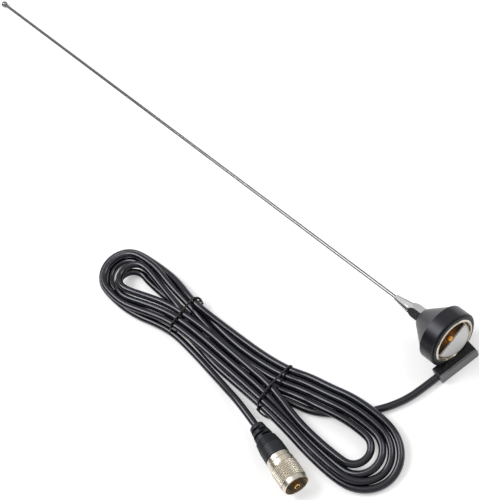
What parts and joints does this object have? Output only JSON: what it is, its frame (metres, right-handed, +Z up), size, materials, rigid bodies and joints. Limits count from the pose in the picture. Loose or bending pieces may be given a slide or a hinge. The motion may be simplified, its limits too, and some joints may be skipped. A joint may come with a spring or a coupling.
{
  "type": "nmo whip antenna with mount, coaxial cable and uhf plug",
  "caption": "Slim steel whip on a black cup base that screws onto a round mount, with a tied coil of coaxial cable ending in a knurled plug.",
  "frame": {"origin": "on the floor under the middle of the antenna, halfway from the cup's mouth to the tip ball", "axes": "+Y along the whip from the cup's mouth to the tip, +X to the right seen from the mouth, +Z up"},
  "size_m": [0.1578, 0.569, 0.0383],
  "materials": {
    "stainless": "polished stainless steel",
    "chrome": "bright chrome",
    "dark_steel": "black oxide",
    "black_shell": "satin moulded",
    "black_rubber": "matte",
    "nickel": "warm nickel plate",
    "brown_laminate": "phenolic laminate",
    "dark_laminate": "phenolic laminate",
    "brass": "bare brass",
    "brass_plated": "brass, nickel plated outside",
    "pale_nylon": "satin",
    "gold_contact": "gold plated",
    "black_housing": "satin moulded",
    "cable_jacket": "glossy vinyl jacket",
    "tie_vinyl": "coated wire tie"
  },
  "bodies": {
    "antenna_and_cable": {"whip_rod": "stainless", "whip_tip_ball": "stainless", "whip_holder": "chrome", "holder_set_screws": "dark_steel", "base_shell": "black_shell", "rim_gasket": "black_rubber", "base_thread_ring": "nickel", "contact_disc": "brown_laminate", "contact_stud": "brass", "mount_body": "brass_plated", "mount_face_plate": "pale_nylon", "mount_insulator": "brown_laminate", "mount_contact": "gold_contact", "plug_body": "nickel", "plug_insulator": "dark_laminate", "plug_pin": "gold_contact", "strain_relief_boot": "black_rubber", "cable_housing": "black_housing", "housing_lid": "black_housing", "cable_lead_mount": "cable_jacket", "cable_coil": "cable_jacket", "cable_lead_plug": "cable_jacket", "tie_far": "tie_vinyl", "tie_near": "tie_vinyl"},
    "nut": {"coupling_nut": "nickel"}
  },
  "joints": [
    {"name": "nut_spin", "type": "hinge", "parent": "antenna_and_cable", "child": "nut", "pos_m": [-0.12754, -0.24222, 0.009], "axis": [-0.1942, -0.981, 0], "continuous": true}
  ]
}
